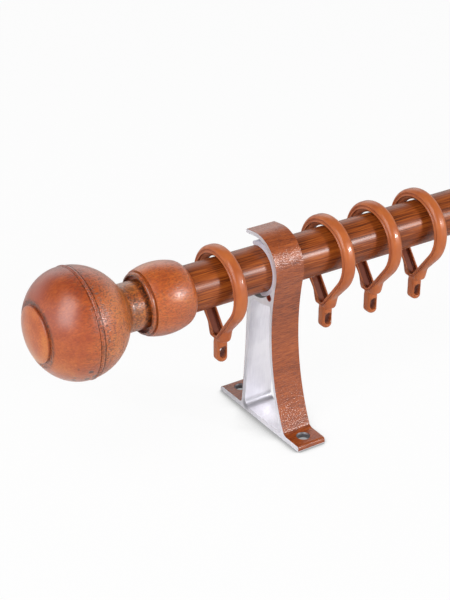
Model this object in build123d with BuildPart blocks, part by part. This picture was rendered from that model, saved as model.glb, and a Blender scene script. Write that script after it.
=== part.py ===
"""Curtain rod on two hook brackets, with hanging rings and turned ball finials.

Millimetres. X runs along the rod, Y from the front of the brackets to their back, Z up.
The origin is on the floor, midway between the brackets and under the middle of their bases.
Cross sections are drawn about the rod's axis: u points to the back and v points up.
"""

import os
from math import asin, atan2, cos, degrees, radians, sin, sqrt, tan

from build123d import *

# Rod: a drawn tube in a wood-grain film
rod_diameter = 27.5
rod_length = 800.0
tube_wall = 1.2
film_thickness = 0.2

# Bracket: a slice of a hollow extrusion, hook on top and base below
axis_height = 101.6
bracket_width = 19.0
bracket_inset = 74.0
base_front_reach = 43.4
base_back_reach = 40.0
base_thickness = 3.2
front_toe_radius = 1.5
heel_radius = 2.6
hook_front_wall = 1.75
hook_thickness = 2.4
hook_rise = 1.4
hook_back_shift = 2.0
tip_reach = 13.1
tip_slope = 8.0
tip_radius = 1.0
strap_thickness = 2.3
waist_setback = 4.0
waist_depth = 34.9
foot_fillet = 4.0
leg_top_reach = 11.0
leg_foot_reach = 16.6
leg_bow = 1.06
leg_end_thickness = 3.7
leg_foot_fillet = 2.5
cradle_drop = 5.15
cradle_back_shift = 3.5
cradle_spread = 1.35
cradle_wall = 2.5
cradle_corner_radius = 1.0
hollow_rise = 2.3
hollow_rise_reach = 4.0
hollow_fillet = 4.0
hollow_toe_fillet = 1.2
groove_angle = 232.0
groove_mouth = 2.1
groove_bottom = 3.7
groove_depth = 2.7

# Base screw holes
screw_hole_radius = 3.5
screw_hole_rim = 0.7
screw_hole_end_distance = 8.35

# Liner of the hook: soft plastic between the rod and the metal
seat_clearance = 0.3
liner_thickness = 2.3
liner_gap = 0.1
liner_lip_angle = 65.0
liner_end_radius = 1.05
liner_foot_angle = 262.0
liner_inset = 0.3
rib_clearance = 0.2
rib_inset = 2.0

# Film on the bracket stops this far short of the wall behind the base
film_edge_gap = 0.4

# Curtain rings
ring_width = 8.4
ring_play = 3.8
hang_clearance = 0.3
ring_wall = 4.2
ring_edge_fillet = 3.2
channel_depth = 2.2
channel_width = 6.0
crotch_radius = 3.0
crotch_drop = 7.0
yoke_drop = 2.0
yoke_height = 8.5
yoke_top_width = 17.8
yoke_bottom_width = 13.4
yoke_corner_radius = 3.6
yoke_shoulder_radius = 8.0
tab_length = 14.2
tab_width = 6.0
tab_depth = 6.7
tab_overlap = 1.3
tab_edge_radius = 2.2
eyelet_width = 4.5
eyelet_height = 7.8
eyelet_end_distance = 6.9
outer_ring_gap = 26.0
inner_ring_gaps = [30.1, 34.4, 34.6]

# Glide liner in each ring's channel
glide_rise = 2.45
glide_edge_rise = 0.25
glide_gap = 0.1
glide_arc = 230.0

# Finial collar: the socket on the rod's end
socket_depth = 23.5
socket_clearance = 0.15
socket_floor_gap = 0.2
collar_web = 3.3
recess_depth = 2.9
recess_clearance = 2.4
barrel_wall = 6.9
barrel_heel_drop = 1.85
barrel_front_drop = 1.9
heel_length = 4.5
heel_wall = 1.3
lip_wall = 1.5
lip_length = 2.8
lip_groove_width = 0.8
lip_groove_depth = 0.5
lip_fillet = 1.3

# Finial knob: the turned ball and its neck
neck_radius = 13.95
neck_fillet = 5.5
ball_radius = 31.7
neck_length = 11.4
ball_inner_reach = 30.7
ball_outer_reach = 26.8
bead_width = 2.7
bead_offset = 1.25
bead_rise = 0.35
bead_groove_width = 0.7
bead_groove_depth = 0.55
button_radius = 16.0
button_edge_fillet = 0.7
button_groove_width = 2.8
button_groove_depth = 1.4
button_groove_floor = 0.5

# Finial screw
screw_radius = 2.25
screw_length = 30.0
screw_clearance = 0.2
screw_head_radius = 4.8
screw_head_height = 2.8
screw_head_fillet = 1.2
drive_length = 5.0
drive_width = 1.0
drive_depth = 1.4

# Places that follow from the sizes
rod_radius = rod_diameter / 2
tube_radius = rod_radius - film_thickness
axis_y = (base_front_reach - base_back_reach) / 2
floor_v = -axis_height
flange_v = floor_v + base_thickness
liner_inner_radius = rod_radius + seat_clearance
liner_outer_radius = liner_inner_radius + liner_thickness
seat_radius = liner_outer_radius + liner_gap
bracket_x = rod_length / 2 - bracket_inset - bracket_width / 2
screw_hole_y = (base_front_reach + base_back_reach) / 2 - screw_hole_end_distance
screw_rim_radius = screw_hole_radius + screw_hole_rim
sides = {"left": -1, "right": 1}

os.makedirs("parts", exist_ok=True)


def cross_plane(x: float, drop: float = 0.0) -> Plane:
    """Plane square to the rod at x, with its origin on the rod's axis or that far below it."""
    return Plane(origin=(x, axis_y, axis_height - drop), x_dir=(0, 1, 0), z_dir=(1, 0, 0))


def turning_plane(side: int) -> Plane:
    """Upright plane through the rod's axis at one end, with local x pointing out of that end."""
    end = (side * rod_length / 2, axis_y, axis_height)
    return Plane(origin=end, x_dir=(side, 0, 0), z_dir=(0, -side, 0))


def polar(radius: float, angle: float) -> tuple[float, float]:
    """Point of a cross section at a radius and an angle about the rod's axis."""
    return (radius * cos(radians(angle)), radius * sin(radians(angle)))


def save(part: Part, label: str) -> None:
    """Label a finished piece and write it to its own file."""
    part.label = label
    export_step(part, f"parts/{label}.step")


# Front of the bracket: over the hook, down the waisted strap and along the toe
hook_centre = (hook_back_shift, hook_rise)
hook_radius = seat_radius + hook_front_wall + hook_back_shift
hook_inner_radius = hook_radius - hook_thickness
tip_turn = 90 - tip_slope
hook_top = (hook_back_shift + polar(hook_radius, tip_turn)[0], hook_rise + polar(hook_radius, tip_turn)[1])
tip_top_v = hook_top[1] - (tip_reach - hook_top[0]) * tan(radians(tip_slope))
waist_u = hook_back_shift - hook_radius + waist_setback
waist_run = hook_back_shift - waist_u
waist_fall = hook_rise + waist_depth
waist_radius = (waist_run**2 + waist_fall**2 - hook_radius**2) / (2 * (hook_radius - waist_run))
waist_centre = (waist_u - waist_radius, -waist_depth)
waist_turn = degrees(atan2(waist_fall, waist_run + waist_radius))
foot_turn = degrees(asin((-waist_depth - flange_v) / waist_radius))
foot_u = waist_centre[0] + waist_radius * cos(radians(foot_turn))

with BuildLine() as front_outline:
    Line((tip_reach, tip_top_v), hook_top)
    CenterArc(hook_centre, hook_radius, tip_turn, 180 - tip_turn + waist_turn)
    CenterArc(waist_centre, waist_radius, waist_turn, -waist_turn - foot_turn)
    Polyline((foot_u, flange_v), (-base_front_reach, flange_v), (-base_front_reach, floor_v))
    fillet(front_outline.vertices().sort_by_distance((-base_front_reach, flange_v))[0], front_toe_radius)
    fillet(front_outline.vertices().sort_by_distance((foot_u, flange_v))[0], foot_fillet)

# Back of the bracket: down the leg and along the heel
cradle_v = -rod_radius - cradle_drop
leg_middle = ((leg_top_reach + leg_foot_reach) / 2 - leg_bow, (cradle_v + flange_v) / 2)

with BuildLine() as back_outline:
    ThreePointArc((leg_top_reach, cradle_v), leg_middle, (leg_foot_reach, flange_v))
    Polyline((leg_foot_reach, flange_v), (base_back_reach, flange_v), (base_back_reach, floor_v))
    fillet(back_outline.vertices().sort_by_distance((base_back_reach, flange_v))[0], heel_radius)
    fillet(back_outline.vertices().sort_by_distance((leg_foot_reach, flange_v))[0], leg_foot_fillet)

# Section of the bracket: the cradle is cut out of it and opens to the back
cradle_radius = seat_radius + cradle_spread
mouth_reach = base_back_reach + tip_reach
under_tip = (
    hook_back_shift + polar(hook_inner_radius, tip_turn)[0],
    hook_rise + polar(hook_inner_radius, tip_turn)[1],
)
under_tip_end_v = under_tip[1] - (mouth_reach - under_tip[0]) * tan(radians(tip_slope))

with BuildSketch() as bracket_section:
    with BuildLine():
        add(front_outline.line)
        Line((-base_front_reach, floor_v), (base_back_reach, floor_v))
        add(back_outline.line)
        Line((leg_top_reach, cradle_v), (tip_reach, tip_top_v))
    make_face()
    with Locations(hook_centre):
        Circle(hook_inner_radius, mode=Mode.SUBTRACT)
    Circle(seat_radius, mode=Mode.SUBTRACT)
    with Locations((cradle_back_shift, cradle_v + cradle_radius)):
        Circle(cradle_radius, mode=Mode.SUBTRACT)
    Polygon(
        (cradle_back_shift, cradle_v),
        (mouth_reach, cradle_v),
        (mouth_reach, under_tip_end_v),
        under_tip,
        hook_centre,
        align=None,
        mode=Mode.SUBTRACT,
    )
    tip_corners = bracket_section.vertices().sort_by_distance((tip_reach, tip_top_v))[:2]
    fillet(tip_corners, tip_radius)
    fillet(bracket_section.vertices().sort_by_distance((leg_top_reach, cradle_v))[0], cradle_corner_radius)

# Hollow between the strap, the leg and the base
hollow_top_v = cradle_v - cradle_wall
hollow_arc_radius = waist_radius + strap_thickness
hollow_front_v = hollow_top_v + hollow_rise


def strap_inner_u(v: float) -> float:
    """Inner face of the strap at a height."""
    return waist_centre[0] + sqrt(hollow_arc_radius**2 - (v + waist_depth) ** 2)


hollow_front = (strap_inner_u(hollow_front_v), hollow_front_v)
hollow_toe = (strap_inner_u(flange_v), flange_v)

with BuildSketch() as hollow_section:
    with BuildLine():
        Polyline(
            hollow_front,
            (-hollow_rise_reach, hollow_top_v),
            (leg_top_reach - leg_end_thickness, hollow_top_v),
            (leg_foot_reach - leg_end_thickness, flange_v),
            hollow_toe,
        )
        ThreePointArc(hollow_toe, (waist_centre[0] + hollow_arc_radius, -waist_depth), hollow_front)
    make_face()
    fillet(hollow_section.vertices().sort_by_distance(hollow_toe)[0], hollow_toe_fillet)
    rounded = hollow_section.vertices().filter_by(lambda corner: corner.X > -hollow_rise_reach + 1)
    fillet(rounded, hollow_fillet)
    fillet(hollow_section.vertices().sort_by_distance(hollow_front)[0], hollow_toe_fillet)

# Dovetail groove in the cradle, and the liner whose rib it holds
liner_sweep = liner_foot_angle - liner_lip_angle
rib_half_mouth = groove_mouth / 2 - rib_clearance
rib_half_bottom = groove_bottom / 2 - rib_clearance
rib_depth = groove_depth - rib_clearance

with BuildSketch() as groove_section:
    with Locations(Location((0, 0, 0), (0, 0, groove_angle))):
        Polygon(
            (seat_radius - groove_mouth, -groove_mouth / 2),
            (seat_radius, -groove_mouth / 2),
            (seat_radius + groove_depth, -groove_bottom / 2),
            (seat_radius + groove_depth, groove_bottom / 2),
            (seat_radius, groove_mouth / 2),
            (seat_radius - groove_mouth, groove_mouth / 2),
            align=None,
        )

with BuildSketch() as liner_section:
    with BuildLine():
        CenterArc((0, 0), liner_inner_radius, liner_lip_angle, liner_sweep)
        Line(polar(liner_inner_radius, liner_foot_angle), polar(liner_outer_radius, liner_foot_angle))
        CenterArc((0, 0), liner_outer_radius, liner_foot_angle, -liner_sweep)
        Line(polar(liner_outer_radius, liner_lip_angle), polar(liner_inner_radius, liner_lip_angle))
    make_face()
    fillet(liner_section.vertices(), liner_end_radius)

with BuildSketch() as rib_section:
    with Locations(Location((0, 0, 0), (0, 0, groove_angle))):
        Polygon(
            (liner_inner_radius + liner_thickness / 2, -rib_half_mouth),
            (seat_radius, -rib_half_mouth),
            (seat_radius + rib_depth, -rib_half_bottom),
            (seat_radius + rib_depth, rib_half_bottom),
            (seat_radius, rib_half_mouth),
            (liner_inner_radius + liner_thickness / 2, rib_half_mouth),
            align=None,
        )

# Sections of the film on the front and the back of the bracket
with BuildSketch() as front_film_section:
    with BuildLine():
        add(front_outline.line)
        offset(amount=film_thickness, side=Side.RIGHT)
    make_face()
    with Locations((0, floor_v)):
        Rectangle(2 * mouth_reach, 2 * film_edge_gap, mode=Mode.SUBTRACT)
    with Locations((tip_reach, tip_top_v)):
        Rectangle(2 * tip_radius, 2 * hook_thickness, mode=Mode.SUBTRACT)

with BuildSketch() as back_film_section:
    with BuildLine():
        add(back_outline.line)
        offset(amount=film_thickness, side=Side.LEFT)
    make_face()
    with Locations((0, floor_v)):
        Rectangle(2 * mouth_reach, 2 * film_edge_gap, mode=Mode.SUBTRACT)
    with Locations((leg_top_reach, cradle_v)):
        Rectangle(2 * leg_end_thickness, 2 * cradle_corner_radius, mode=Mode.SUBTRACT)

for name, side in sides.items():
    middle = cross_plane(side * bracket_x)
    hole_places = [(side * bracket_x, y, base_thickness) for y in (-screw_hole_y, screw_hole_y)]

    # Aluminium bracket
    with BuildPart() as bracket:
        with BuildSketch(middle):
            add(bracket_section.sketch)
            add(hollow_section.sketch, mode=Mode.SUBTRACT)
            add(groove_section.sketch, mode=Mode.SUBTRACT)
        extrude(amount=bracket_width / 2, both=True)
        with Locations(*hole_places):
            CounterSinkHole(screw_hole_radius, screw_rim_radius)
    save(bracket.part, f"bracket_{name}")

    # Wood-grain film on the outside of the bracket
    for place, section in (("front", front_film_section), ("back", back_film_section)):
        with BuildPart() as bracket_film:
            with BuildSketch(middle):
                add(section.sketch)
            extrude(amount=bracket_width / 2, both=True)
            with Locations(*hole_places):
                Hole(screw_rim_radius)
        save(bracket_film.part, f"bracket_film_{place}_{name}")

    # Plastic liner of the hook
    with BuildPart() as hook_liner:
        with BuildSketch(middle):
            add(liner_section.sketch)
        extrude(amount=bracket_width / 2 - liner_inset, both=True)
        with BuildSketch(middle):
            add(rib_section.sketch)
        extrude(amount=bracket_width / 2 - rib_inset, both=True)
    save(hook_liner.part, f"hook_liner_{name}")

# Rod tube and its film
with BuildPart() as rod_tube:
    with BuildSketch(cross_plane(0)):
        Circle(tube_radius)
        Circle(tube_radius - tube_wall, mode=Mode.SUBTRACT)
    extrude(amount=rod_length / 2, both=True)
save(rod_tube.part, "rod_tube")

with BuildPart() as rod_film:
    with BuildSketch(cross_plane(0)):
        Circle(rod_radius)
        Circle(tube_radius, mode=Mode.SUBTRACT)
    extrude(amount=rod_length / 2, both=True)
save(rod_film.part, "rod_film")

# One curtain ring at the middle of the rod: a hoop, two legs that meet in a yoke, and a tab
glide_inner_radius = rod_radius + ring_play
rim_radius = glide_inner_radius + glide_rise
hoop_radius = rim_radius + ring_wall
hoop_drop = glide_inner_radius - rod_radius - hang_clearance
hoop_z = axis_height - hoop_drop
yoke_top = -hoop_radius - yoke_drop
yoke_bottom = yoke_top - yoke_height
tab_bottom = yoke_bottom - tab_length
crotch_centre = (0, crotch_radius - hoop_radius - crotch_drop)
hoop_plane = cross_plane(0, hoop_drop)

with BuildPart() as tab_pattern:
    with BuildSketch(Plane.XZ.offset(-axis_y)):
        with Locations((0, hoop_z + tab_bottom + tab_width / 2)):
            Circle(tab_width / 2)
            Rectangle(
                tab_width,
                tab_length + tab_overlap - tab_width / 2,
                align=(Align.CENTER, Align.MIN),
            )
    extrude(amount=tab_depth / 2, both=True)
    rims = tab_pattern.faces().filter_by(Axis.Y).edges().sort_by(Axis.Z)
    fillet(rims[:-2], tab_edge_radius)

with BuildPart() as ring_pattern:
    with BuildSketch(hoop_plane) as yoke_outline:
        with BuildLine(mode=Mode.PRIVATE) as hoop_and_yoke:
            CenterArc((0, 0), hoop_radius, 0, 360)
            Line((-yoke_top_width / 2, yoke_top), (yoke_top_width / 2, yoke_top))
        make_hull(hoop_and_yoke.edges())
        Polygon(
            (-yoke_top_width / 2, yoke_top),
            (-yoke_bottom_width / 2, yoke_bottom),
            (yoke_bottom_width / 2, yoke_bottom),
            (yoke_top_width / 2, yoke_top),
            align=None,
        )
        corners = yoke_outline.vertices()
        fillet(corners.filter_by(lambda corner: corner.Y < yoke_bottom + 1), yoke_corner_radius)
        corners = yoke_outline.vertices()
        fillet(corners.filter_by(lambda corner: abs(corner.Y - yoke_top) < 0.01), yoke_shoulder_radius)
        with BuildLine(mode=Mode.PRIVATE) as rim_line:
            CenterArc((0, 0), rim_radius, 0, 360)
            CenterArc(crotch_centre, crotch_radius, 0, 360)
        make_hull(rim_line.edges(), mode=Mode.SUBTRACT)
    extrude(amount=ring_width / 2, both=True)
    ends = ring_pattern.faces().filter_by(Axis.X).sort_by(Axis.X)
    fillet(ends[0].outer_wire().edges() + ends[-1].outer_wire().edges(), ring_edge_fillet)
    with BuildSketch(hoop_plane):
        with BuildLine(mode=Mode.PRIVATE) as channel_line:
            CenterArc((0, 0), rim_radius + channel_depth, 0, 360)
            CenterArc(crotch_centre, crotch_radius + channel_depth, 0, 360)
        make_hull(channel_line.edges())
    extrude(amount=channel_width / 2, both=True, mode=Mode.SUBTRACT)
    add(tab_pattern.part)
    with BuildSketch(Plane.XZ.offset(-axis_y)):
        with Locations((0, hoop_z + tab_bottom + eyelet_end_distance)):
            SlotOverall(eyelet_height, eyelet_width, rotation=90)
    extrude(amount=tab_depth, both=True, mode=Mode.SUBTRACT)

# Glide liner: a rounded strip in the hoop's channel, which runs on the rod
glide_half_width = channel_width / 2 - glide_gap
glide_outer_radius = rim_radius + channel_depth - glide_gap
glide_edge_radius = rim_radius - glide_edge_rise
glide_start = radians(90 - glide_arc / 2)
glide_normal = (0, -sin(glide_start), cos(glide_start))
glide_plane = Plane(origin=hoop_plane.origin, x_dir=(1, 0, 0), z_dir=glide_normal)

with BuildPart() as glide_pattern:
    with BuildSketch(glide_plane):
        with BuildLine():
            Polyline(
                (-glide_half_width, glide_edge_radius),
                (-glide_half_width, glide_outer_radius),
                (glide_half_width, glide_outer_radius),
                (glide_half_width, glide_edge_radius),
            )
            ThreePointArc(
                (glide_half_width, glide_edge_radius),
                (0, glide_inner_radius),
                (-glide_half_width, glide_edge_radius),
            )
        make_face()
    revolve(axis=Axis(glide_plane.origin, (1, 0, 0)), revolution_arc=glide_arc)

# The rings in their places, numbered from the left end of the rod
inner_face = bracket_inset + bracket_width
ring_distances = [bracket_inset - outer_ring_gap]
ring_distances += [inner_face + sum(inner_ring_gaps[: count + 1]) for count in range(len(inner_ring_gaps))]
left_places = [distance - rod_length / 2 for distance in ring_distances]
ring_places = left_places + [-x for x in reversed(left_places)]

for number, x in enumerate(ring_places, start=1):
    with BuildPart() as ring:
        with Locations((x, 0, 0)):
            add(ring_pattern.part)
    save(ring.part, f"ring_{number}")

    with BuildPart() as ring_glide:
        with Locations((x, 0, 0)):
            add(glide_pattern.part)
    save(ring_glide.part, f"ring_glide_{number}")

# Finials: distances run outwards from the rod's end
socket_radius = rod_radius + socket_clearance
recess_radius = neck_radius + recess_clearance
barrel_radius = socket_radius + barrel_wall
seat_place = socket_floor_gap + collar_web
collar_end = seat_place + recess_depth
lip_radius = recess_radius + lip_wall
groove_start = collar_end - lip_length
groove_end = groove_start + lip_groove_width
heel_end = heel_length - socket_depth
screw_hole = screw_radius + screw_clearance
ball_place = seat_place + neck_length + ball_inner_reach
neck_turn = degrees(asin(neck_radius / ball_radius))
neck_end = ball_place - ball_inner_reach * cos(radians(neck_turn))
bead_place = ball_place - bead_offset
bead_half = (bead_width - bead_groove_width) / 2
bead_foot = ball_radius - bead_groove_depth
button_groove_radius = button_radius + button_groove_width


def ball_outer_place(radius: float) -> float:
    """Distance out of the rod's end at which the ball's outer half has a radius."""
    return ball_place + ball_outer_reach * sqrt(1 - (radius / ball_radius) ** 2)


button_place = ball_outer_place(button_radius)

for name, side in sides.items():
    finial_plane = turning_plane(side)
    finial_axis = Axis(finial_plane.origin, finial_plane.x_dir)

    # Collar: barrel over the rod's end, lip and recess round the neck
    with BuildPart() as collar:
        with BuildSketch(finial_plane):
            with BuildLine():
                barrel = ThreePointArc(
                    (heel_end, barrel_radius - barrel_heel_drop),
                    ((heel_end + groove_start) / 2, barrel_radius),
                    (groove_start, barrel_radius - barrel_front_drop),
                )
                heel = TangentArc(
                    (heel_end, barrel_radius - barrel_heel_drop),
                    (-socket_depth, socket_radius + heel_wall),
                    tangent=(barrel % 0) * -1,
                )
                Polyline(
                    barrel @ 1,
                    (groove_start, lip_radius - lip_groove_depth),
                    (groove_end, lip_radius - lip_groove_depth),
                    (groove_end, lip_radius),
                    (collar_end, lip_radius),
                    (collar_end, recess_radius),
                    (seat_place, recess_radius),
                    (seat_place, screw_hole),
                    (socket_floor_gap, screw_hole),
                    (socket_floor_gap, socket_radius),
                    (-socket_depth, socket_radius),
                    heel @ 1,
                )
            make_face()
        revolve(axis=finial_axis)
        front_rims = collar.edges().filter_by(GeomType.CIRCLE).group_by(Axis.X)[0 if side < 0 else -1]
        fillet(front_rims.sort_by(SortBy.RADIUS)[-1], lip_fillet)
    save(collar.part, f"finial_collar_{name}")

    # Knob: neck and ball, a bead between two grooves, and a button in a groove
    with BuildPart() as knob:
        with BuildSketch(finial_plane) as knob_section:
            with BuildLine():
                Polyline((seat_place, 0), (seat_place, neck_radius), (neck_end, neck_radius))
                EllipticalCenterArc(
                    (ball_place, 0), ball_inner_reach, ball_radius, start_angle=90, arc_size=90 - neck_turn
                )
                EllipticalCenterArc((ball_place, 0), ball_outer_reach, ball_radius, arc_size=90)
                Line((ball_place + ball_outer_reach, 0), (seat_place, 0))
            make_face()
            fillet(knob_section.vertices().sort_by_distance((neck_end, neck_radius))[0], neck_fillet)
            for edge in (bead_place - bead_width / 2, bead_place + bead_width / 2):
                Polygon(
                    (edge - bead_groove_width / 2, ball_radius + bead_groove_depth),
                    (edge, bead_foot),
                    (edge + bead_groove_width / 2, ball_radius + bead_groove_depth),
                    align=None,
                    mode=Mode.SUBTRACT,
                )
            with BuildLine():
                crown = ThreePointArc(
                    (bead_place - bead_half, bead_foot),
                    (bead_place, ball_radius + bead_rise),
                    (bead_place + bead_half, bead_foot),
                )
                Line(crown @ 1, crown @ 0)
            make_face()
            Polygon(
                (ball_outer_place(button_groove_radius), button_groove_radius),
                (button_place - button_groove_depth, button_radius + button_groove_floor),
                (button_place - button_groove_depth, button_radius),
                (button_place + button_groove_depth, button_radius),
                (button_place + button_groove_depth, button_groove_radius),
                align=None,
                mode=Mode.SUBTRACT,
            )
            button_rim = knob_section.vertices().sort_by_distance((button_place, button_radius))
            fillet(button_rim[0], button_edge_fillet)
            with Locations((seat_place + screw_length / 2, screw_radius / 2)):
                Rectangle(screw_length, screw_radius, mode=Mode.SUBTRACT)
        revolve(axis=finial_axis)
    save(knob.part, f"finial_knob_{name}")

    # Screw from the socket through the collar's web into the knob
    with BuildPart() as finial_screw:
        with BuildSketch(finial_plane):
            with BuildLine():
                Polyline(
                    (socket_floor_gap - screw_head_height, 0),
                    (socket_floor_gap - screw_head_height, screw_head_radius),
                    (socket_floor_gap, screw_head_radius),
                    (socket_floor_gap, screw_radius),
                    (seat_place + screw_length - 2 * screw_radius, screw_radius),
                    (seat_place + screw_length, 0),
                    close=True,
                )
            make_face()
        revolve(axis=finial_axis)
        head_rims = finial_screw.edges().filter_by(GeomType.CIRCLE)
        fillet(head_rims.sort_by(lambda rim: abs(rim.arc_center.X))[0], screw_head_fillet)
        with BuildSketch(cross_plane(side * (rod_length / 2 + socket_floor_gap - screw_head_height))):
            Rectangle(drive_length, drive_width)
            Rectangle(drive_width, drive_length)
        extrude(amount=side * drive_depth, mode=Mode.SUBTRACT)
    save(finial_screw.part, f"finial_screw_{name}")
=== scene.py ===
"""Looks of a curtain rod on two hook brackets, with hanging rings and turned ball finials."""

import logging
import math
from dataclasses import dataclass, replace
from enum import Enum
from typing import Optional, Sequence, Union

import bpy
from mathutils import Matrix, Vector


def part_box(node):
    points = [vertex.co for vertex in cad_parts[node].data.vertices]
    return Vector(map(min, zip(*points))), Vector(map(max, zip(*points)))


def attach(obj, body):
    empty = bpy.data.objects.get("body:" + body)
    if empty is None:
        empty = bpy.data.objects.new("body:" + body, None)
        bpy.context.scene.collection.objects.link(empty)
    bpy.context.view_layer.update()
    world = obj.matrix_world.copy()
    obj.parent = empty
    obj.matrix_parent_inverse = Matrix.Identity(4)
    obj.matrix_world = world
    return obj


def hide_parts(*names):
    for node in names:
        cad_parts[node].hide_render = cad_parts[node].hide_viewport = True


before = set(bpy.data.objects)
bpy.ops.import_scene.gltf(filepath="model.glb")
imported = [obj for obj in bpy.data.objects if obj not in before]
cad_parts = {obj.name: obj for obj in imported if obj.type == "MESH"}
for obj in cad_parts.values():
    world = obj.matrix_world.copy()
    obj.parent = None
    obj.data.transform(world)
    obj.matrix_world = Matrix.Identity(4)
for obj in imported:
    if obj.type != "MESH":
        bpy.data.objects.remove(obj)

LOG = logging.getLogger("curtain_rod")
MM = 0.001
NOISE_MIDDLE = 0.5
# Name of the rings' layer of painted shade.
SHADE_LAYER = "channel_painted_shade"

Socket = bpy.types.NodeSocket
Value = Union[float, Socket]
Paint = tuple[int, int, int]
Triple = tuple[float, float, float]
Linear = tuple[float, float, float, float]
WHITE: Linear = (1.0, 1.0, 1.0, 1.0)

# A mix node keeps its colour sockets behind those for numbers and places.
MIX_BELOW, MIX_ABOVE, MIX_RESULT = 6, 7, 2


class Side(Enum):
    """The two ends of the rod."""

    LEFT = "left"
    RIGHT = "right"


class Slope(Enum):
    """How a number moves between two others."""

    STRAIGHT = "LINEAR"
    SOFT = "SMOOTHSTEP"


@dataclass(frozen=True)
class Fade:
    """A change from a low result to a high one, as a value goes from a start to an end."""

    start: float
    end: float
    low: float = 0.0
    high: float = 1.0
    slope: Slope = Slope.SOFT

    def shifted(self, by: float) -> "Fade":
        """The same change, with its start and end moved along."""
        return replace(self, start=self.start + by, end=self.end + by)

    def scaled(self, by: float) -> "Fade":
        """The same change, with its results multiplied."""
        return replace(self, low=self.low * by, high=self.high * by)


@dataclass(frozen=True)
class Grain:
    """A cloudy pattern: its repeats in a metre of x, y and z, finer layers, warp and turn about x."""

    per_metre: Triple
    detail: float = 2.0
    rough: float = 0.5
    warp: float = 0.0
    turn: float = 0.0


def linear(paint: Paint) -> Linear:
    """Turns a display colour into the light values that shaders take, by the sRGB curve.

    Args:
        paint: Red, green and blue from 0 to 255.

    Returns:
        The same colour as linear red, green, blue and alpha.
    """
    parts = []
    for level in paint:
        share = level / 255
        parts.append(share / 12.92 if share <= 0.04045 else ((share + 0.055) / 1.055) ** 2.4)
    return (parts[0], parts[1], parts[2], 1.0)


class Nodes:
    """The shader nodes of a material or of the room."""

    def __init__(self, tree: bpy.types.NodeTree) -> None:
        """Takes the tree that the nodes go into."""
        self.tree = tree

    def add(self, kind: str, **settings: object) -> bpy.types.Node:
        """Adds a node and sets its options.

        Args:
            kind: Type name of the node.
            **settings: Options of the node.

        Returns:
            The new node.
        """
        node = self.tree.nodes.new(kind)
        for option, value in settings.items():
            setattr(node, option, value)
        return node

    def feed(self, socket: Socket, value: Union[Value, Sequence[float]]) -> None:
        """Links a socket to another, or sets its number.

        Args:
            socket: The input that takes the value.
            value: An output socket, a number or a colour.
        """
        if isinstance(value, bpy.types.NodeSocket):
            self.tree.links.new(value, socket)
        else:
            socket.default_value = value

    def calc(self, operation: str, first: Value, second: Value = 0.0, third: Value = 0.0) -> Socket:
        """Does one sum.

        Args:
            operation: Name of the sum.
            first: First number.
            second: Second number, where the sum takes one.
            third: Third number, where the sum takes one.

        Returns:
            The result.
        """
        node = self.add("ShaderNodeMath", operation=operation)
        for socket, value in zip(node.inputs, (first, second, third)):
            self.feed(socket, value)
        return node.outputs[0]

    def times(self, product: Value, *shares: Value) -> Value:
        """Multiplies numbers with each other.

        Args:
            product: The first number.
            *shares: The other numbers.

        Returns:
            The product.
        """
        for share in shares:
            product = self.calc("MULTIPLY", product, share)
        return product

    def length(self, across: Value, upwards: Value) -> Socket:
        """Length of a line that goes so far across and so far upwards."""
        squares = self.calc("MULTIPLY_ADD", across, across, self.times(upwards, upwards))
        return self.calc("SQRT", squares)

    def split(self, vector: Socket) -> tuple[Socket, Socket, Socket]:
        """Takes a place apart.

        Args:
            vector: The place.

        Returns:
            Its x, y and z.
        """
        node = self.add("ShaderNodeSeparateXYZ")
        self.feed(node.inputs[0], vector)
        return (node.outputs[0], node.outputs[1], node.outputs[2])

    def fade(self, value: Value, change: Fade) -> Socket:
        """Moves from one number to another.

        Args:
            value: What the change follows.
            change: The change.

        Returns:
            The changed number.
        """
        node = self.add("ShaderNodeMapRange", interpolation_type=change.slope.value)
        numbers = (value, change.start, change.end, change.low, change.high)
        for socket, number in zip(node.inputs, numbers):
            self.feed(socket, number)
        return node.outputs[0]


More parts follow.
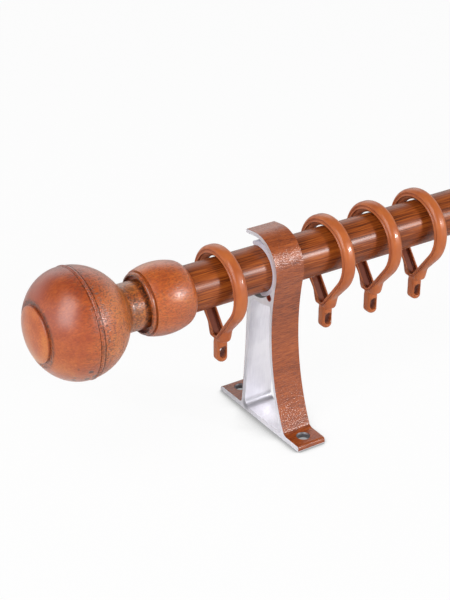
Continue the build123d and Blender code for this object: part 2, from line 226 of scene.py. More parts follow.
class Graph(Nodes):
    """The shader nodes of one finish, round a single surface shader."""

    def __init__(self, name: str) -> None:
        """Starts an empty material with its surface shader.

        Args:
            name: Name of the finish.
        """
        self.material = bpy.data.materials.new(name)
        self.material.use_nodes = True
        super().__init__(self.material.node_tree)
        self.tree.nodes.clear()
        self.output = self.add("ShaderNodeOutputMaterial")
        self.shader = self.add("ShaderNodeBsdfPrincipled")
        self.feed(self.output.inputs[0], self.shader.outputs[0])
        self.place = self.add("ShaderNodeTexCoord").outputs["Object"]

    def set(self, **inputs: Union[Value, Linear]) -> None:
        """Feeds the surface shader, with input names written with underscores."""
        for name, value in inputs.items():
            self.feed(self.shader.inputs[name.replace("_", " ")], value)

    def join(self, x: Value, y: Value) -> Socket:
        """Puts a flat place together.

        Args:
            x: How far along.
            y: How far across.

        Returns:
            The place, with a z of nothing.
        """
        node = self.add("ShaderNodeCombineXYZ")
        for socket, value in zip(node.inputs, (x, y)):
            self.feed(socket, value)
        return node.outputs[0]

    def stretch(self, place: Socket, per_metre: Triple, turn: float = 0.0) -> Socket:
        """Scales and turns a place before a pattern reads it.

        Args:
            place: The place.
            per_metre: Repeats of the pattern in a metre of x, y and z.
            turn: Turn of the pattern about x, in degrees.

        Returns:
            The stretched place.
        """
        node = self.add("ShaderNodeMapping")
        self.feed(node.inputs["Vector"], place)
        node.inputs["Scale"].default_value = per_metre
        node.inputs["Rotation"].default_value = (math.radians(turn), 0.0, 0.0)
        return node.outputs[0]

    def noise(self, grain: Grain, place: Optional[Socket] = None) -> Socket:
        """Draws a cloudy pattern.

        Args:
            grain: The pattern.
            place: Where it is read, which is the piece's own place if nothing is given.

        Returns:
            A number around one half.
        """
        node = self.add("ShaderNodeTexNoise")
        place = self.place if place is None else place
        self.feed(node.inputs["Vector"], self.stretch(place, grain.per_metre, grain.turn))
        node.inputs["Scale"].default_value = 1.0
        node.inputs["Detail"].default_value = grain.detail
        node.inputs["Roughness"].default_value = grain.rough
        node.inputs["Distortion"].default_value = grain.warp
        return node.outputs["Fac"]

    def cells(self, place: Socket) -> tuple[Socket, Socket]:
        """Draws a flat pattern of scattered dots.

        Args:
            place: Stretched place.

        Returns:
            The distance from the nearest dot, and a random number for each dot.
        """
        node = self.add("ShaderNodeTexVoronoi", voronoi_dimensions="2D")
        self.feed(node.inputs["Vector"], place)
        node.inputs["Scale"].default_value = 1.0
        return (node.outputs["Distance"], self.split(node.outputs["Color"])[0])

    def ramp(self, value: Socket, spots: Sequence[float], paints: Sequence[Paint]) -> Socket:
        """Colours a number.

        Args:
            value: The number.
            spots: Numbers at which the colours are full.
            paints: The colours.

        Returns:
            The colour.
        """
        node = self.add("ShaderNodeValToRGB")
        self.feed(node.inputs[0], value)
        band = node.color_ramp
        while len(band.elements) < len(spots):
            band.elements.new(0.5)
        for element, spot, paint in zip(band.elements, spots, paints):
            element.position = spot
            element.color = linear(paint)
        return node.outputs[0]

    def blend(self, share: Value, base: Socket, paint: Paint) -> Socket:
        """Lays a paint over a colour.

        Args:
            share: Cover of the paint, from 0 to 1.
            base: The colour below.
            paint: The paint.

        Returns:
            The mixed colour.
        """
        node = self.add("ShaderNodeMix", data_type="RGBA")
        self.feed(node.inputs["Factor"], share)
        self.feed(node.inputs[MIX_BELOW], base)
        self.feed(node.inputs[MIX_ABOVE], linear(paint))
        return node.outputs[MIX_RESULT]

    def relief(self, height: Socket, depth: float, strength: float) -> None:
        """Gives the surface a fine relief.

        Args:
            height: Relief from 0 to 1.
            depth: Full height of the relief in metres.
            strength: Share of the relief that shows.
        """
        node = self.add("ShaderNodeBump")
        node.inputs["Strength"].default_value = strength
        node.inputs["Distance"].default_value = depth
        self.feed(node.inputs["Height"], height)
        for name in ("Normal", "Coat Normal"):
            self.feed(self.shader.inputs[name], node.outputs[0])


@dataclass(frozen=True)
class Spot:
    """A point in a plane, how far round it a paint reaches, and the share of that reach it fills."""

    at: float
    by: float
    reach: float
    core: float

    def cover(self, graph: Graph, first: Socket, second: Socket) -> Socket:
        """How much of the paint a place has.

        Args:
            graph: The finish.
            first: First coordinate of the place.
            second: Second coordinate of the place.

        Returns:
            Cover from 0 to 1.
        """
        across = graph.calc("SUBTRACT", first, self.at)
        upwards = graph.calc("SUBTRACT", second, self.by)
        return graph.fade(graph.length(across, upwards), Fade(self.reach, self.reach * self.core))


@dataclass(frozen=True)
class Axis:
    """The rod's centre line, and how far its surface is from it."""

    y: float
    z: float
    radius: float

    @classmethod
    def of_node(cls, node: str) -> "Axis":
        """Finds the centre line of a round node that lies along x.

        Args:
            node: Name of the node.

        Returns:
            Its centre line.
        """
        low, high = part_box(node)
        middle = (low + high) / 2
        return cls(middle.y, middle.z, (high.z - low.z) / 2)

    def turned(self, graph: Graph) -> tuple[Socket, Socket, Socket]:
        """Place on a turned surface.

        Args:
            graph: Finish that needs the place.

        Returns:
            Distance along the rod from its middle, distance from the axis, and angle round it.
        """
        x, y, z = graph.split(graph.place)
        towards = graph.calc("SUBTRACT", self.y, y)
        upwards = graph.calc("SUBTRACT", z, self.z)
        angle = graph.calc("ARCTAN2", upwards, towards)
        return (graph.calc("ABSOLUTE", x), graph.length(towards, upwards), angle)


@dataclass(frozen=True)
class Stain:
    """A circle on the finial where the antique stain has gathered."""

    circle: Spot
    strength: float

    def cover(self, graph: Graph, along: Socket, radius: Socket) -> Value:
        """Stain from 0 to 1 at a distance along the rod and a distance from its axis."""
        return graph.times(self.circle.cover(graph, along, radius), self.strength)


@dataclass(frozen=True)
class Scatter:
    """Small dark marks strewn round the finial, in a band beside its bead.

    The band's middle is measured from the bead outwards, and the height from the rod's axis.
    """

    per_metre: Triple
    middle: float
    band: Fade
    chosen: Fade
    dot: Fade
    height: Optional[Fade] = None

    def cover(self, graph: Graph, along: Socket, angle: Socket, axis: Axis, bead: float) -> Value:
        """How much of a place the marks cover.

        Args:
            graph: Finish of the finial.
            along: Distance along the rod.
            angle: Angle round the rod.
            axis: The rod's centre line.
            bead: Place of the bead along the rod.

        Returns:
            Cover from 0 to 1.
        """
        unrolled = graph.join(along, graph.times(angle, axis.radius))
        distance, lot = graph.cells(graph.stretch(unrolled, self.per_metre))
        off = graph.calc("ABSOLUTE", graph.calc("SUBTRACT", along, bead + self.middle))
        shares = [graph.fade(distance, self.dot), graph.fade(lot, self.chosen), graph.fade(off, self.band)]
        if self.height is not None:
            shares.append(graph.fade(graph.split(graph.place)[2], self.height.shifted(axis.z)))
        return graph.times(*shares)


@dataclass(frozen=True)
class TurnedWood:
    """Stained and lacquered hardwood of the finials.

    The heart of the wood lies outwards and upwards of the ball's middle, in the given shares.
    The golden and dense fades are measured from the bead, the plain and thin ones from the collar's
    lip, and the button's from the knob's pole.
    """

    axis: Axis
    stains: tuple[Stain, ...]
    pole: float
    ball: float
    bead: float
    collar: float
    heart: Paint = (150, 56, 10)
    body: Paint = (188, 91, 30)
    pale: Paint = (214, 128, 52)
    pore: Paint = (84, 40, 15)
    antique: Paint = (60, 34, 20)
    tones: Triple = (0.28, 0.50, 0.72)
    patches: Grain = Grain((30, 70, 55), 3, 0.55, 0.5)
    patch_share: float = 0.5
    threads: Grain = Grain((260, 1000, 1000), 3, 0.65)
    thread_share: float = 0.5
    heart_outwards: float = 0.523182
    heart_upwards: float = 0.847057
    heart_fade: Fade = Fade(-4 * MM, 34 * MM, 0.0, 0.23)
    golden_fade: Fade = Fade(4 * MM, -8 * MM, 0.0, 0.10)
    plain_fade: Fade = Fade(4 * MM, -1 * MM, 0.0, 0.12)
    button_fade: Fade = Fade(-5 * MM, -2.5 * MM)
    dish_fade: Fade = Fade(14 * MM, 10 * MM, 0.20, 0.10)
    pore_grain: Grain = Grain((650, 1150, 1150), 2, 0.6)
    pore_fade: Fade = Fade(0.46, 0.63)
    pore_share: float = 0.75
    dense_fade: Fade = Fade(15 * MM, 1 * MM, 0.16, 1.0)
    thin_fade: Fade = Fade(-1 * MM, 4 * MM, 0.6, 1.0)
    pore_patches: Grain = Grain((120, 120, 120))
    patchy_fade: Fade = Fade(0.3, 0.6, 0.6, 1.0)
    checks: Scatter = Scatter(
        per_metre=(240, 2300, 1),
        middle=-1.2 * MM,
        band=Fade(6 * MM, 2 * MM),
        chosen=Fade(0.35, 0.5, 0.0, 0.65),
        dot=Fade(0.36, 0.14),
    )
    pits: Scatter = Scatter(
        per_metre=(190, 450, 1),
        middle=8 * MM,
        band=Fade(7 * MM, 5 * MM),
        chosen=Fade(0.45, 0.47),
        dot=Fade(0.32, 0.18),
        height=Fade(-2 * MM, -12 * MM, 0.0, 0.9),
    )
    speckle: Grain = Grain((820, 820, 820))
    speckle_fade: Fade = Fade(0.36, 0.62, 0.2, 1.3)
    lathe_lines: Grain = Grain((1500, 1, 1))
    lathe_height: float = 0.12
    mark_depth: float = 3.0
    worn_depth: float = 1.3
    worn_rough: float = 0.2
    rough_fade: Fade = Fade(0.3, 0.7, 0.38, 0.32)

    def figure(self, graph: Graph, along: Socket, radius: Socket) -> Socket:
        """Tone of the wood, dark towards the heart, golden by the bead and on the button.

        Args:
            graph: The finish.
            along: Distance along the rod.
            radius: Distance from the axis.

        Returns:
            A tone around one half.
        """
        height = graph.split(graph.place)[2]
        outwards = graph.times(graph.calc("SUBTRACT", along, self.ball), self.heart_outwards)
        upwards = graph.times(graph.calc("SUBTRACT", height, self.axis.z), self.heart_upwards)
        heart = graph.fade(graph.calc("ADD", outwards, upwards), self.heart_fade)
        golden = graph.fade(along, self.golden_fade.shifted(self.bead))
        plain = graph.fade(along, self.plain_fade.shifted(self.collar))
        golden = graph.calc("SUBTRACT", golden, plain)
        button = graph.fade(along, self.button_fade.shifted(self.pole))
        golden = graph.calc("MULTIPLY_ADD", button, graph.fade(radius, self.dish_fade), golden)
        patch_base = NOISE_MIDDLE * (1.0 - self.patch_share)
        tone = graph.calc("MULTIPLY_ADD", graph.noise(self.patches), self.patch_share, patch_base)
        tone = graph.calc("ADD", tone, golden)
        threads = graph.calc("SUBTRACT", graph.noise(self.threads), NOISE_MIDDLE)
        tone = graph.calc("MULTIPLY_ADD", threads, self.thread_share, tone)
        return graph.calc("SUBTRACT", tone, heart)

    def pores(self, graph: Graph, along: Socket) -> Value:
        """Fine dark pores, thick by the bead and on the side towards the rod.

        Args:
            graph: The finish.
            along: Distance along the rod.

        Returns:
            Cover of the pores from 0 to 1.
        """
        pores = graph.fade(graph.noise(self.pore_grain), self.pore_fade)
        dense = graph.fade(along, self.dense_fade.shifted(self.bead))
        thin = graph.fade(along, self.thin_fade.shifted(self.collar))
        patchy = graph.fade(graph.noise(self.pore_patches), self.patchy_fade)
        return graph.times(pores, dense, thin, patchy)

    def gathered(self, graph: Graph, along: Socket, radius: Socket) -> Socket:
        """Antique stain in the grooves, broken up into specks.

        Args:
            graph: The finish.
            along: Distance along the rod.
            radius: Distance from the axis.

        Returns:
            Cover of the stain from 0 to 1.
        """
        cover: Value = 0.0
        for stain in self.stains:
            cover = graph.calc("MAXIMUM", cover, stain.cover(graph, along, radius))
        specks = graph.fade(graph.noise(self.speckle), self.speckle_fade)
        return graph.calc("MINIMUM", graph.times(cover, specks), 1.0)

    def material(self) -> bpy.types.Material:
        """The finish as a material."""
        graph = Graph("stained_wood")
        along, radius, angle = self.axis.turned(graph)
        tone = self.figure(graph, along, radius)
        colour = graph.ramp(tone, self.tones, (self.heart, self.body, self.pale))
        pores = self.pores(graph, along)
        checks = self.checks.cover(graph, along, angle, self.axis, self.bead)
        pits = self.pits.cover(graph, along, angle, self.axis, self.bead)
        marks = graph.calc("MAXIMUM", checks, pits)
        stain = self.gathered(graph, along, radius)
        colour = graph.blend(graph.times(pores, self.pore_share), colour, self.pore)
        colour = graph.blend(marks, colour, self.antique)
        colour = graph.blend(stain, colour, self.antique)
        worn = graph.calc("MAXIMUM", pores, stain)
        rough = graph.calc("MULTIPLY_ADD", worn, self.worn_rough, graph.fade(tone, self.rough_fade))
        lathe = graph.times(graph.noise(self.lathe_lines, graph.join(along, 0.0)), self.lathe_height)
        hollow = graph.calc("MULTIPLY_ADD", marks, self.mark_depth, graph.times(worn, self.worn_depth))
        graph.relief(graph.calc("SUBTRACT", lathe, hollow), depth=0.06 * MM, strength=0.8)
        graph.set(Base_Color=colour, Roughness=rough, Specular_IOR_Level=0.3)
        graph.set(Coat_Weight=1.0, Coat_Roughness=0.32)
        return graph.material


@dataclass(frozen=True)
class WoodPrint:
    """Wood grain printed on a film, in three layers from broad to fine."""

    broad: Grain
    streaks: Grain
    fine: Grain
    tones: Triple
    paints: tuple[Paint, Paint, Paint]
    broad_share: float = 0.22
    streak_share: float = 0.46
    fine_share: float = 0.32

    def draw(self, graph: Graph, place: Socket) -> tuple[Socket, Socket, Socket, Socket]:
        """Prints the grain.

        Args:
            graph: The finish.
            place: Where the grain is read.

        Returns:
            The colour, its tone, the streaks and the fine lines.
        """
        streaks, fine = graph.noise(self.streaks, place), graph.noise(self.fine, place)
        tone = graph.times(graph.noise(self.broad, place), self.broad_share)
        tone = graph.calc("MULTIPLY_ADD", streaks, self.streak_share, tone)
        tone = graph.calc("MULTIPLY_ADD", fine, self.fine_share, tone)
        return (graph.ramp(tone, self.tones, self.paints), tone, streaks, fine)


@dataclass(frozen=True)
class RodFilm:
    """Glossy wood-print film round the rod, with long dark streaks."""

    axis: Axis
    grain: WoodPrint = WoodPrint(
        broad=Grain((6, 150, 1), 3, 0.6, 0.3),
        streaks=Grain((30, 1150, 1), 3, 0.62, 0.2),
        fine=Grain((55, 2600, 1)),
        tones=(0.38, 0.49, 0.61),
        paints=((46, 17, 5), (134, 61, 18), (178, 94, 34)),
    )
    rough_fade: Fade = Fade(0.3, 0.7, 0.5, 0.42)

    def material(self) -> bpy.types.Material:
        """The finish as a material."""
        graph = Graph("rod_film")
        x = graph.split(graph.place)[0]
        angle = self.axis.turned(graph)[2]
        unrolled = graph.join(x, graph.times(angle, self.axis.radius))
        colour, tone, streaks, _ = self.grain.draw(graph, unrolled)
        graph.relief(tone, depth=0.02 * MM, strength=0.3)
        rough = graph.fade(streaks, self.rough_fade)
        graph.set(Base_Color=colour, Roughness=rough, Specular_IOR_Level=0.15)
        graph.set(Coat_Weight=0.45, Coat_Roughness=0.27)
        return graph.material


@dataclass(frozen=True)
class BracketFilm:
    """Satin wood-print film on the brackets, grained along the rod, with a fine orange peel."""

    grain: WoodPrint = WoodPrint(
        broad=Grain((14, 120, 120), 3, 0.6, 0.4),
        streaks=Grain((130, 1500, 1500), 3, 0.65),
        fine=Grain((300, 2800, 2800)),
        tones=(0.37, 0.50, 0.63),
        paints=((97, 37, 9), (149, 70, 24), (178, 91, 36)),
    )
    peel: Grain = Grain((1400, 1400, 1400), 1)
    rough_fade: Fade = Fade(0.3, 0.7, 0.5, 0.42)

    def material(self) -> bpy.types.Material:
        """The finish as a material."""
        graph = Graph("bracket_film")
        colour, _, _, fine = self.grain.draw(graph, graph.place)
        graph.relief(graph.noise(self.peel), depth=0.3 * MM, strength=0.75)
        rough = graph.fade(fine, self.rough_fade)
        graph.set(Base_Color=colour, Roughness=rough, Specular_IOR_Level=0.3)
        graph.set(Coat_Weight=0.8, Coat_Roughness=0.2)
        return graph.material


@dataclass(frozen=True)
class BareAluminium:
    """Extruded aluminium, sawn across and left bare.

    The corner of the hollow, the cradle's seat and the screw holes carry painted shade, and the
    liner's groove a painted red-brown for its shade and the brown rod reflected in it. The corner,
    the liner's groove and the cradle's seat are placed by y and z, the screw holes by their
    distance from the middle in x and y.
    """

    dull: Paint = (228, 227, 234)
    bright: Paint = (247, 246, 251)
    tones: tuple[float, float] = (0.35, 0.62)
    clouds: Grain = Grain((60, 60, 60), 3)
    cloud_share: float = 0.7
    saw_marks: Grain = Grain((900, 900, 80), 3, 0.6, turn=28)
    saw_share: float = 0.3
    saw_height: float = 0.6
    die_lines: Grain = Grain((12, 1500, 1500), 2, 0.6)
    die_height: float = 0.4
    rough_fade: Fade = Fade(0.35, 0.65, 0.55, 0.44)
    corner: Spot = Spot(13.2 * MM, 4.2 * MM, reach=5.0 * MM, core=0.3)
    corner_shade_paint: Paint = (172, 171, 178)
    groove: Spot = Spot(-9.2 * MM, 87.6 * MM, reach=2.7 * MM, core=0.8)
    groove_shade_paint: Paint = (150, 62, 40)
    seat: Spot = Spot(3.0 * MM, 84.0 * MM, reach=11.0 * MM, core=0.6)
    seat_shade_paint: Paint = (38, 27, 28)
    seat_shade_facing: Fade = Fade(0.2, 0.5)
    hole: Spot = Spot(316.5 * MM, 33.35 * MM, reach=4.3 * MM, core=0.97)
    hole_shade_paint: Paint = (112, 110, 114)

    def material(self) -> bpy.types.Material:
        """The finish as a material."""
        graph = Graph("aluminium")
        x, y, z = graph.split(graph.place)
        saw_marks = graph.noise(self.saw_marks)
        tone = graph.times(graph.noise(self.clouds), self.cloud_share)
        tone = graph.calc("MULTIPLY_ADD", saw_marks, self.saw_share, tone)
        colour = graph.ramp(tone, self.tones, (self.dull, self.bright))
        # Painted shade in the corner of the hollow, where the fillet lies in shade.
        colour = graph.blend(self.corner.cover(graph, y, z), colour, self.corner_shade_paint)
        # Painted red-brown in the liner's groove, standing for its shade and the brown rod reflected in
        # it.
        colour = graph.blend(self.groove.cover(graph, y, z), colour, self.groove_shade_paint)
        # Painted shade on the upward-facing seat of the cradle, in the gap under the rod.
        facing = graph.split(graph.add("ShaderNodeNewGeometry").outputs["Normal"])[2]
        seat = graph.times(self.seat.cover(graph, y, z), graph.fade(facing, self.seat_shade_facing))
        colour = graph.blend(seat, colour, self.seat_shade_paint)
        # Painted shade on the walls of the screw holes.
        hole = self.hole.cover(graph, graph.calc("ABSOLUTE", x), graph.calc("ABSOLUTE", y))
        colour = graph.blend(hole, colour, self.hole_shade_paint)
        die_lines = graph.times(graph.noise(self.die_lines), self.die_height)
        height = graph.calc("MULTIPLY_ADD", saw_marks, self.saw_height, die_lines)
        graph.relief(height, depth=0.04 * MM, strength=0.4)
        graph.set(Base_Color=colour, Metallic=0.65, Roughness=graph.fade(tone, self.rough_fade))
        return graph.material


@dataclass(frozen=True)
class MouldedPlastic:
    """Injection-moulded plastic with a faint mottle and a fine skin."""

    name: str
    dark: Paint
    pale: Paint
    rough: float
    skin_depth: float
    shine: float = 0.0
    shade_paint: Paint = (112, 42, 12)
    shade_layer: str = ""
    shade_rough: float = 0.25
    tones: tuple[float, float] = (0.32, 0.68)
    mottle: Grain = Grain((90, 90, 60), 3, 0.6, 0.5)
    skin: Grain = Grain((1100, 1100, 1100))
    rough_fade: Fade = Fade(0.3, 0.7, 1.15, 0.9)

    def material(self) -> bpy.types.Material:
        """The finish as a material."""
        graph = Graph(self.name)
        mottle = graph.noise(self.mottle)
        colour = graph.ramp(mottle, self.tones, (self.dark, self.pale))
        rough = graph.fade(mottle, self.rough_fade.scaled(self.rough))
        # The layer's painted shade darkens the colour, and those places are also made rougher.
        if self.shade_layer:
            depth = graph.add("ShaderNodeAttribute", attribute_name=self.shade_layer).outputs["Fac"]
            colour = graph.blend(depth, colour, self.shade_paint)
            rough = graph.calc("MULTIPLY_ADD", depth, self.shade_rough, rough)
        graph.relief(graph.noise(self.skin), depth=self.skin_depth, strength=0.5)
        graph.set(Base_Color=colour, Roughness=rough, Specular_IOR_Level=0.35)
        graph.set(Coat_Weight=self.shine, Coat_Roughness=0.07)
        return graph.material


@dataclass(frozen=True)
class PlatedSteel:
    """Zinc-plated steel of the finial screws."""

    dull: Paint = (150, 148, 144)
    bright: Paint = (206, 205, 200)
    tones: tuple[float, float] = (0.35, 0.65)
    wear: Grain = Grain((300, 700, 700), 3)
    rough_fade: Fade = Fade(0.3, 0.7, 0.4, 0.28)

    def material(self) -> bpy.types.Material:
        """The finish as a material."""
        graph = Graph("screw_steel")
        wear = graph.noise(self.wear)
        colour = graph.ramp(wear, self.tones, (self.dull, self.bright))
        graph.relief(wear, depth=0.03 * MM, strength=0.4)
        graph.set(Base_Color=colour, Metallic=1.0, Roughness=graph.fade(wear, self.rough_fade))
        return graph.material


def coat_node(name: str, material: bpy.types.Material) -> None:
    """Gives a node of the frame its finish.

    Args:
        name: Name of the node.
        material: Its finish.
    """
    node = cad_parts[name]
    node.data.materials.clear()
    node.data.materials.append(material)
    LOG.info("%s finished as %s", name, material.name)


@dataclass
class BracketPair:
    """The two hook brackets with their film and hook liners."""

    liner: MouldedPlastic = MouldedPlastic(
        "liner_plastic", (206, 201, 213), (226, 222, 233), rough=0.5, skin_depth=0.03 * MM
    )

    def dress(self) -> None:
        """Finishes the nodes of both brackets."""
        aluminium = BareAluminium().material()
        film = BracketFilm().material()
        liner = self.liner.material()
        for side in Side:
            coat_node(f"bracket_{side.value}", aluminium)
            coat_node(f"bracket_film_front_{side.value}", film)
            coat_node(f"bracket_film_back_{side.value}", film)
            coat_node(f"hook_liner_{side.value}", liner)


@dataclass
class Rod:
    """The tube and the film round it."""

    axis: Axis

    def dress(self) -> None:
        """Finishes the rod."""
        coat_node("rod_tube", BareAluminium().material())
        coat_node("rod_film", RodFilm(self.axis).material())


@dataclass
class RingSet:
    """The hanging rings and their glides.

    Drops are measured down from the hoop's centre, and the lip's valley outwards from the rim line.
    """

    axis: Axis
    count: int = 8
    weld_distance: float = 0.001 * MM
    skin_size: float = 0.3 * MM
    soft_passes: int = 3
    soft_factor: float = 0.5
    hoop_radius: float = 24.2 * MM
    rim_radius: float = 20.0 * MM
    crotch_radius: float = 3.0 * MM
    crotch_distance: float = 28.2 * MM
    channel_depth: float = 2.2 * MM
    channel_half_width: float = 3.05 * MM
    eyelet_half_width: float = 2.5 * MM
    eyelet_drop: float = 42.0 * MM
    eyelet_half_height: float = 4.2 * MM
    tab_half_depth: float = 4.0 * MM
    tab_top: float = 37.0 * MM
    funnel_top: float = 32.5 * MM
    tab_widening: float = 0.13
    tab_deepening: float = 0.18
    lip_start: float = 3.5 * MM
    valley_middle: float = 1.45 * MM
    valley_reach: float = 0.75 * MM
    valley_depth: float = 0.8 * MM
    shade_level: float = 0.85
    valley_shade: float = 0.5
    shade_start: float = 0.1
    shade_rise: float = 0.5
    shade_end: float = 1.12
    plastic: MouldedPlastic = MouldedPlastic(
        "ring_plastic",
        (170, 84, 36),
        (191, 104, 50),
        rough=0.38,
        skin_depth=0.01 * MM,
        shine=0.3,
        shade_layer=SHADE_LAYER,
    )
    glide: MouldedPlastic = MouldedPlastic(
        "glide_plastic", (150, 78, 42), (178, 100, 58), rough=0.5, skin_depth=0.02 * MM
    )

    def soften(self, node: bpy.types.Object, name: str) -> bpy.types.Object:
        """Copies a ring of the frame and rounds its edges as a mould does.

        Args:
            node: Ring of the frame.
            name: Name of the new piece.

        Returns:
            The rounded ring, in the same place.
        """
        piece = bpy.data.objects.new(name, node.data.copy())
        bpy.context.scene.collection.objects.link(piece)
        bpy.ops.object.select_all(action="DESELECT")
        bpy.context.view_layer.objects.active = piece
        piece.select_set(True)
        bpy.ops.object.mode_set(mode="EDIT")
        bpy.ops.mesh.select_all(action="SELECT")
        bpy.ops.mesh.remove_doubles(threshold=self.weld_distance)
        bpy.ops.object.mode_set(mode="OBJECT")
        skin = piece.modifiers.new("skin", "REMESH")
        skin.mode = "VOXEL"
        skin.voxel_size = self.skin_size
        bpy.ops.object.modifier_apply(modifier=skin.name)
        soft = piece.modifiers.new("soft", "SMOOTH")
        soft.factor = self.soft_factor
        soft.iterations = self.soft_passes
        bpy.ops.object.modifier_apply(modifier=soft.name)
        bpy.ops.object.shade_smooth()
        return piece

    def rim_distance(self, side: float, drop: float) -> float:
        """How far a place lies outside the line of the inner rim.

        Args:
            side: Distance from the ring's middle, across the rod.
            drop: Distance below the hoop's centre.

        Returns:
            Distance from the rim line, positive towards the outside.
        """
        lean = (self.rim_radius - self.crotch_radius) / self.crotch_distance
        rise = math.sqrt(1.0 - lean * lean)
        reach = rise * drop - lean * side
        if reach < 0.0:
            return math.hypot(side, drop) - self.rim_radius
        if reach > rise * self.crotch_distance:
            return math.hypot(side, drop - self.crotch_distance) - self.crotch_radius
        return rise * side + lean * drop - self.rim_radius

    def in_eyelet(self, off: float, drop: float) -> bool:
        """Whether a place is on the walls of the eyelet."""
        return abs(off) < self.eyelet_half_width and abs(drop - self.eyelet_drop) < self.eyelet_half_height

    def detail(self, piece: bpy.types.Object) -> None:
        """Fills out the tab, draws the lip along the rim and marks where painted shade darkens it.

        Args:
            piece: The ring.
        """
        xs = [vertex.co.x for vertex in piece.data.vertices]
        middle = (min(xs) + max(xs)) / 2
        centre = max(vertex.co.z for vertex in piece.data.vertices) - self.hoop_radius
        layer = piece.data.attributes.new(SHADE_LAYER, "FLOAT", "POINT")
        for vertex, mark in zip(piece.data.vertices, layer.data):
            off, side, drop = vertex.co.x - middle, vertex.co.y - self.axis.y, centre - vertex.co.z
            outside = self.rim_distance(abs(side), drop)
            depth = outside / self.channel_depth
            valley = 1.0 - ((outside - self.valley_middle) / self.valley_reach) ** 2
            widening = self.tab_widening
            # Painted shade: darker deeper in the channel, towards the middle of the eyelet's depth and
            # along the lip's valley.
            if abs(off) < self.channel_half_width and self.shade_start < depth < self.shade_end:
                mark.value = self.shade_level * min(1.0, (depth - self.shade_start) / self.shade_rise)
            elif self.in_eyelet(off, drop):
                widening = 0.0
                mark.value = self.shade_level * max(0.0, 1.0 - abs(side) / self.tab_half_depth)
            elif abs(off) > self.lip_start and valley > 0.0:
                mark.value = self.valley_shade * self.shade_level * valley
                vertex.co.x -= math.copysign(self.valley_depth * valley, off)
            share = min(max((drop - self.funnel_top) / (self.tab_top - self.funnel_top), 0.0), 1.0)
            vertex.co.x += off * widening * share
            vertex.co.y += side * self.tab_deepening * share

    def build(self) -> None:
        """Moulds every ring from the first one and finishes it."""
        ring, glide = self.plastic.material(), self.glide.material()
        pattern = self.soften(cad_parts["ring_1"], "moulded_ring_1")
        self.detail(pattern)
        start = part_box("ring_1")[0].x
        for number in range(1, self.count + 1):
            node = f"ring_{number}"
            piece = pattern
            if number > 1:
                piece = bpy.data.objects.new(f"moulded_{node}", pattern.data.copy())
                bpy.context.scene.collection.objects.link(piece)
                piece.data.transform(Matrix.Translation((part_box(node)[0].x - start, 0.0, 0.0)))
            piece.data.materials.clear()
            piece.data.materials.append(ring)
            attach(piece, f"curtain_ring_{number}")
            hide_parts(node)
            LOG.info("%s stands for %s", piece.name, node)
            coat_node(f"ring_glide_{number}", glide)


@dataclass
class FinialPair:
    """The turned collars, knobs and their screws at both ends.

    The insets are measured along the rod, from the knob's pole or from the collar's lip.
    """

    axis: Axis
    button_groove_radius: float = 17.5 * MM
    button_groove_inset: float = 5.2 * MM
    bead_radius: float = 31.4 * MM
    bead_outer_inset: float = 26.7 * MM
    bead_inner_inset: float = 29.4 * MM
    neck_root_radius: float = 14.6 * MM
    neck_root_inset: float = 56.6 * MM
    recess_radius: float = 15.3 * MM
    lip_groove_radius: float = 18.1 * MM
    lip_groove_inset: float = 2.3 * MM
    stain_core: float = 0.25

    def stain(self, along: float, radius: float, reach: float, strength: float) -> Stain:
        """A circle of gathered stain at a place along the rod and a distance from its axis."""
        return Stain(Spot(along, radius, reach, self.stain_core), strength)

    def dress(self) -> None:
        """Finishes both finials."""
        pole = -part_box("finial_knob_left")[0].x
        lip = -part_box("finial_collar_left")[0].x
        ball = pole - self.bead_outer_inset
        bead = pole - self.bead_inner_inset
        button_groove = pole - self.button_groove_inset
        neck_root = pole - self.neck_root_inset
        lip_groove = lip - self.lip_groove_inset
        stains = (
            self.stain(button_groove, self.button_groove_radius, reach=2.8 * MM, strength=0.7),
            self.stain(ball, self.bead_radius, reach=0.5 * MM, strength=0.45),
            self.stain(bead, self.bead_radius, reach=0.6 * MM, strength=0.75),
            self.stain(neck_root, self.neck_root_radius, reach=10.0 * MM, strength=0.5),
            self.stain(lip, self.recess_radius, reach=4.0 * MM, strength=0.8),
            self.stain(lip_groove, self.lip_groove_radius, reach=1.0 * MM, strength=0.6),
        )
        wood = TurnedWood(self.axis, stains, pole, ball, bead, lip).material()
        steel = PlatedSteel().material()
        for side in Side:
            coat_node(f"finial_collar_{side.value}", wood)
            coat_node(f"finial_knob_{side.value}", wood)
            coat_node(f"finial_screw_{side.value}", steel)


@dataclass(frozen=True)
class Softbox:
    """A soft lamp that faces the object."""

    name: str
    towards: Triple
    distance: float
    size: tuple[float, float]
    power: float

    def hang(self, target: Vector) -> None:
        """Hangs the lamp.

        Args:
            target: Where it shines.
        """
        lamp = bpy.data.lights.new(self.name, "AREA")
        lamp.shape = "RECTANGLE"
        lamp.size, lamp.size_y = self.size
        lamp.energy = self.power
        holder = bpy.data.objects.new(self.name, lamp)
        bpy.context.scene.collection.objects.link(holder)
        direction = Vector(self.towards)
        holder.location = target + direction.normalized() * self.distance
        holder.rotation_mode = "QUATERNION"
        holder.rotation_quaternion = (-direction).to_track_quat("-Z", "Y")


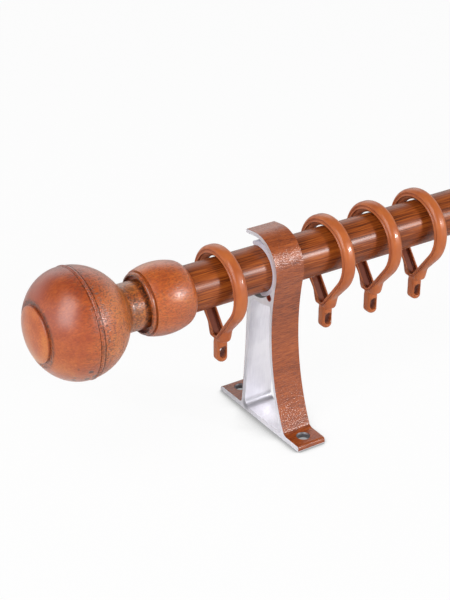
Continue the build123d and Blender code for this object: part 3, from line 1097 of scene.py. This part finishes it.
@dataclass
class Studio:
    """Floor, soft light and camera."""

    target: Triple = (-0.3488, 0.0017, 0.0878)
    camera_place: Triple = (-0.7611, -0.6352, 0.4909)
    lens: float = 90.28
    nearest: float = 10 * MM
    floor_size: float = 12.0
    floor_drop: float = 0.3 * MM
    floor_grey: Linear = (0.82, 0.82, 0.82, 1.0)
    floor_glow: float = 0.94
    # The floor's glow dims within this reach of the object, as a painted contact shadow.
    contact_reach: float = 40 * MM
    contact_shade: Fade = Fade(0.5, 0.9, 0.35, 1.0)
    ceiling: Fade = Fade(0.3, 0.7, 1.0, 0.0, Slope.STRAIGHT)
    soft_fill: Fade = Fade(0.0, 1.0, 0.2, 1.0, Slope.STRAIGHT)
    lamps: tuple[Softbox, ...] = (
        Softbox("softbox_left", (-0.66, -0.344, 0.663), distance=1.6, size=(0.9, 1.6), power=21.5),
        Softbox("softbox_right", (0.56, -0.755, 0.335), distance=1.8, size=(0.26, 0.26), power=16.0),
        Softbox("softbox_side", (-0.95, 0.05, 0.3), distance=2.0, size=(1.6, 1.6), power=4.5),
        Softbox("softbox_back", (0.3, 0.8, 0.5), distance=1.8, size=(1.4, 0.9), power=2.8),
    )

    def floor(self) -> None:
        """Lays a pale floor that keeps a faint shadow."""
        bpy.ops.mesh.primitive_plane_add(size=self.floor_size, location=(0.0, 0.0, -self.floor_drop))
        plane = bpy.context.object
        plane.name = "studio_floor"
        graph = Graph("pale_floor")
        graph.set(Base_Color=self.floor_grey, Roughness=0.9)
        glow = graph.add("ShaderNodeEmission")
        # Painted shadow: ambient occlusion dims the glow under the base and in its holes.
        shade = graph.add("ShaderNodeAmbientOcclusion")
        shade.inputs["Distance"].default_value = self.contact_reach
        graph.feed(glow.inputs["Strength"], graph.fade(shade.outputs["AO"], self.contact_shade))
        mix = graph.add("ShaderNodeMixShader")
        seen = graph.add("ShaderNodeLightPath").outputs["Is Camera Ray"]
        graph.feed(mix.inputs[0], graph.times(seen, self.floor_glow))
        graph.feed(mix.inputs[1], graph.shader.outputs[0])
        graph.feed(mix.inputs[2], glow.outputs[0])
        graph.feed(graph.output.inputs[0], mix.outputs[0])
        plane.data.materials.append(graph.material)

    def room(self) -> None:
        """Surrounds the object with white that lights it only softly."""
        world = bpy.data.worlds.new("white_room")
        bpy.context.scene.world = world
        world.use_nodes = True
        nodes = Nodes(world.node_tree)
        ground = world.node_tree.nodes["Background"]
        ground.inputs["Color"].default_value = WHITE
        path = nodes.add("ShaderNodeLightPath").outputs
        direction = nodes.add("ShaderNodeTexCoord").outputs["Generated"]
        ceiling = nodes.fade(nodes.split(direction)[2], self.ceiling)
        mirrored = nodes.times(path["Is Glossy Ray"], ceiling)
        seen = nodes.calc("MAXIMUM", path["Is Camera Ray"], mirrored)
        seen = nodes.calc("MAXIMUM", seen, path["Is Transmission Ray"])
        nodes.feed(ground.inputs["Strength"], nodes.fade(seen, self.soft_fill))

    def camera(self) -> None:
        """Sets the camera up where the object is looked at."""
        data = bpy.data.cameras.new("camera")
        data.lens = self.lens
        data.clip_start = self.nearest
        holder = bpy.data.objects.new("camera", data)
        bpy.context.scene.collection.objects.link(holder)
        place = Vector(self.camera_place)
        holder.location = place
        holder.rotation_mode = "QUATERNION"
        holder.rotation_quaternion = (Vector(self.target) - place).to_track_quat("-Z", "Y")
        bpy.context.scene.camera = holder

    def build(self) -> None:
        """Builds the whole studio."""
        bpy.context.scene.view_settings.view_transform = "Standard"
        self.camera()
        self.floor()
        self.room()
        for lamp in self.lamps:
            lamp.hang(Vector(self.target))


def main() -> None:
    """Dresses the curtain rod and lights it."""
    logging.basicConfig(level=logging.INFO, format="%(message)s")
    bpy.ops.object.select_all(action="DESELECT")
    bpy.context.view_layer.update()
    axis = Axis.of_node("rod_film")
    BracketPair().dress()
    Rod(axis).dress()
    RingSet(axis).build()
    FinialPair(axis).dress()
    Studio().build()


if __name__ == "__main__":
    main()
